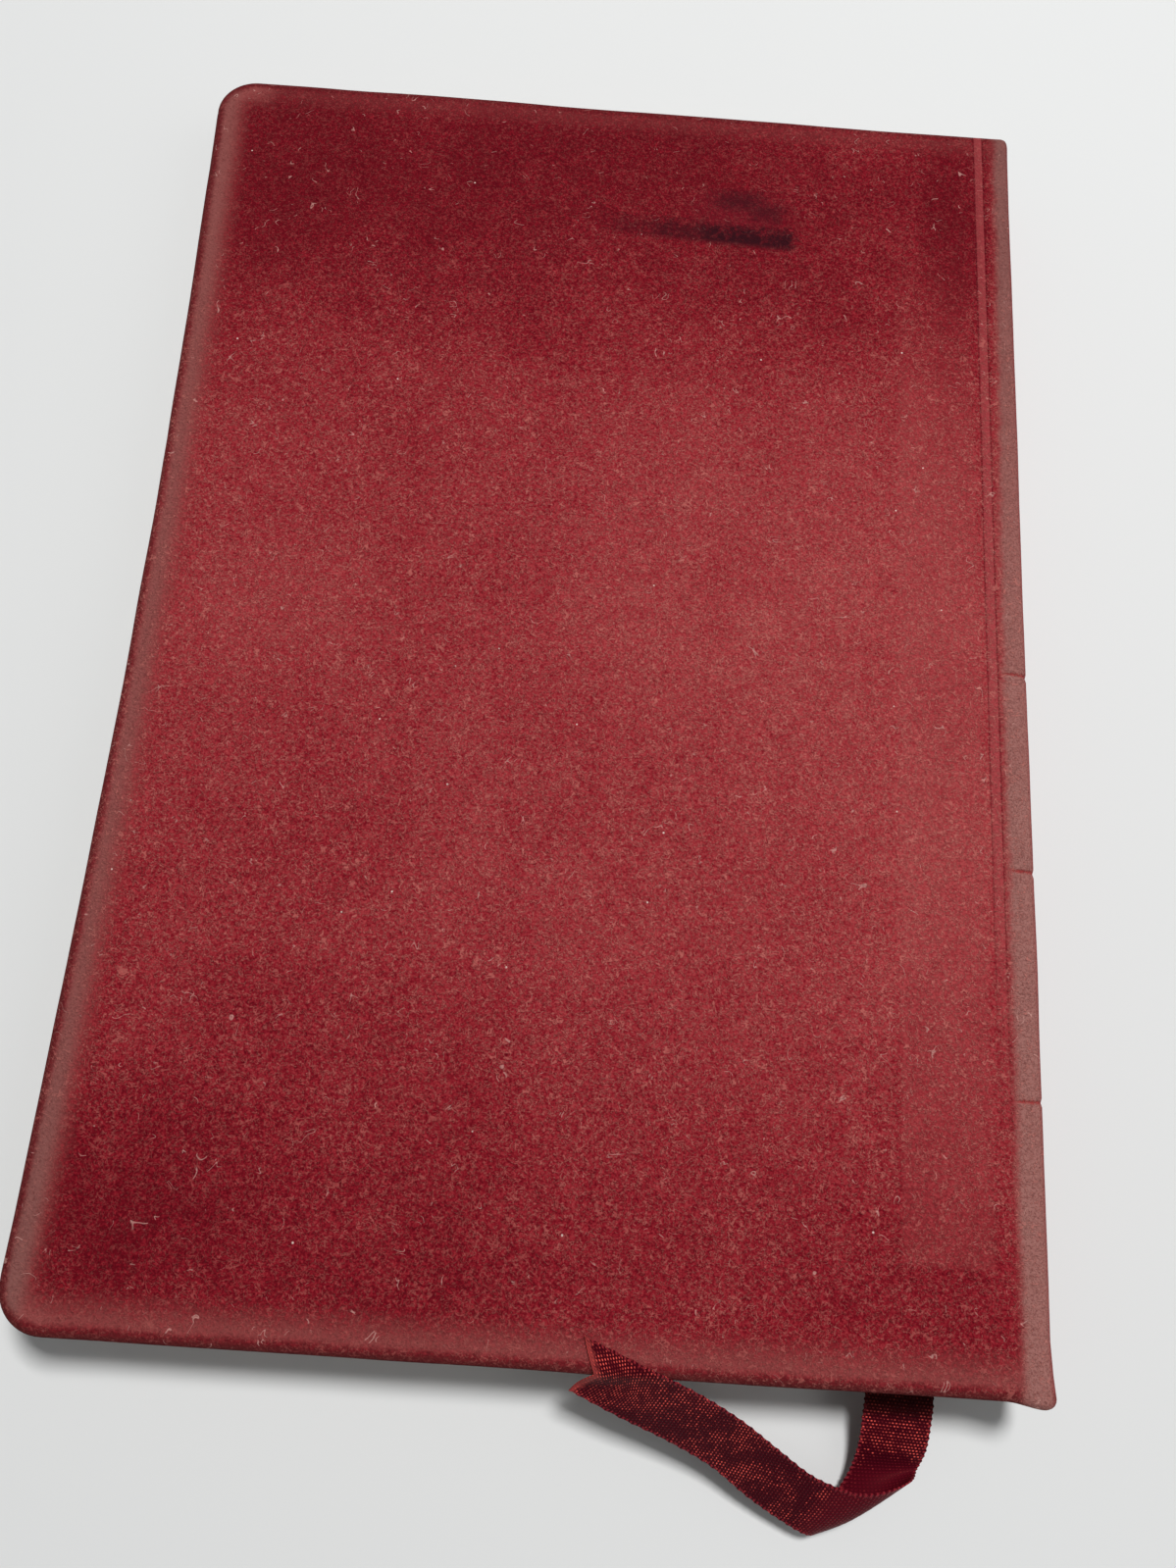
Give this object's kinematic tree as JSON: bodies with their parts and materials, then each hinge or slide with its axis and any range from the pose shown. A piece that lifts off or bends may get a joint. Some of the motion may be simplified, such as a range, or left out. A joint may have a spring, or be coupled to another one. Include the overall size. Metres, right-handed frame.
{
  "type": "velvet album",
  "caption": "Slim closed album in crimson velvet with rounded fore-edge corners, a flat spine, sewn leaves and a satin ribbon marker.",
  "frame": {"origin": "centre of the front cover's outer face, on which the closed album lies", "axes": "+X from the fore-edge to the spine, +Y from tail to head, +Z from the front cover to the back cover"},
  "size_m": [0.1496, 0.2394, 0.016],
  "materials": {
    "velvet": "matte",
    "board": "matte",
    "endpaper": "matte",
    "page_paper": "matte",
    "lining_cloth": "matte",
    "band_cloth": "satin",
    "thread": "matte",
    "ribbon": "satin"
  },
  "bodies": {
    "lower_block": {"section_1": "page_paper", "section_2": "page_paper", "section_3": "page_paper", "spine_lining_lower": "lining_cloth", "spine_velvet_lower": "velvet", "headband_lower": "band_cloth", "tailband_lower": "band_cloth", "sewing_thread_lower": "thread", "front_flyleaf": "endpaper", "ribbon_marker": "ribbon", "ribbon_tail": "ribbon"},
    "upper_block": {"section_4": "page_paper", "section_5": "page_paper", "section_6": "page_paper", "spine_lining_upper": "lining_cloth", "spine_velvet_upper": "velvet", "headband_upper": "band_cloth", "tailband_upper": "band_cloth", "sewing_thread_upper": "thread", "back_flyleaf": "endpaper"},
    "front_cover": {"front_board": "board", "front_velvet": "velvet", "front_lining_flap": "lining_cloth", "front_infill": "board", "front_pastedown": "endpaper"},
    "back_cover": {"back_board": "board", "back_velvet": "velvet", "back_lining_flap": "lining_cloth", "back_infill": "board", "back_pastedown": "endpaper"},
    "leaf_1": {"middle_leaf_1": "page_paper"},
    "leaf_2": {"middle_leaf_2": "page_paper"},
    "leaf_3": {"middle_leaf_3": "page_paper"}
  },
  "joints": [
    {"name": "album_spread", "type": "hinge", "parent": "lower_block", "child": "upper_block", "pos_m": [0.0751, 0, 0.008], "axis": [0, 1, 0], "range_deg": [0, 180]},
    {"name": "back_cover_hinge", "type": "hinge", "parent": "upper_block", "child": "back_cover", "pos_m": [0.072, 0, 0.0161], "axis": [0, 1, 0], "range_deg": [0, 180]},
    {"name": "front_cover_hinge", "type": "hinge", "parent": "lower_block", "child": "front_cover", "pos_m": [0.072, 0, -0.0001], "axis": [0, -1, 0], "range_deg": [0, 180]},
    {"name": "leaf_1_turn", "type": "hinge", "parent": "lower_block", "child": "leaf_1", "pos_m": [0.0751, 0, 0.008], "axis": [0, 1, 0], "range_deg": [0, 45]},
    {"name": "leaf_2_turn", "type": "hinge", "parent": "lower_block", "child": "leaf_2", "pos_m": [0.0751, 0, 0.008], "axis": [0, 1, 0], "range_deg": [0, 90]},
    {"name": "leaf_3_turn", "type": "hinge", "parent": "lower_block", "child": "leaf_3", "pos_m": [0.0751, 0, 0.008], "axis": [0, 1, 0], "range_deg": [0, 135]}
  ],
  "couplings": [
    {"joint": "leaf_1_turn", "follows": "album_spread", "ratio": 0.25},
    {"joint": "leaf_2_turn", "follows": "album_spread", "ratio": 0.5},
    {"joint": "leaf_3_turn", "follows": "album_spread", "ratio": 0.75}
  ]
}
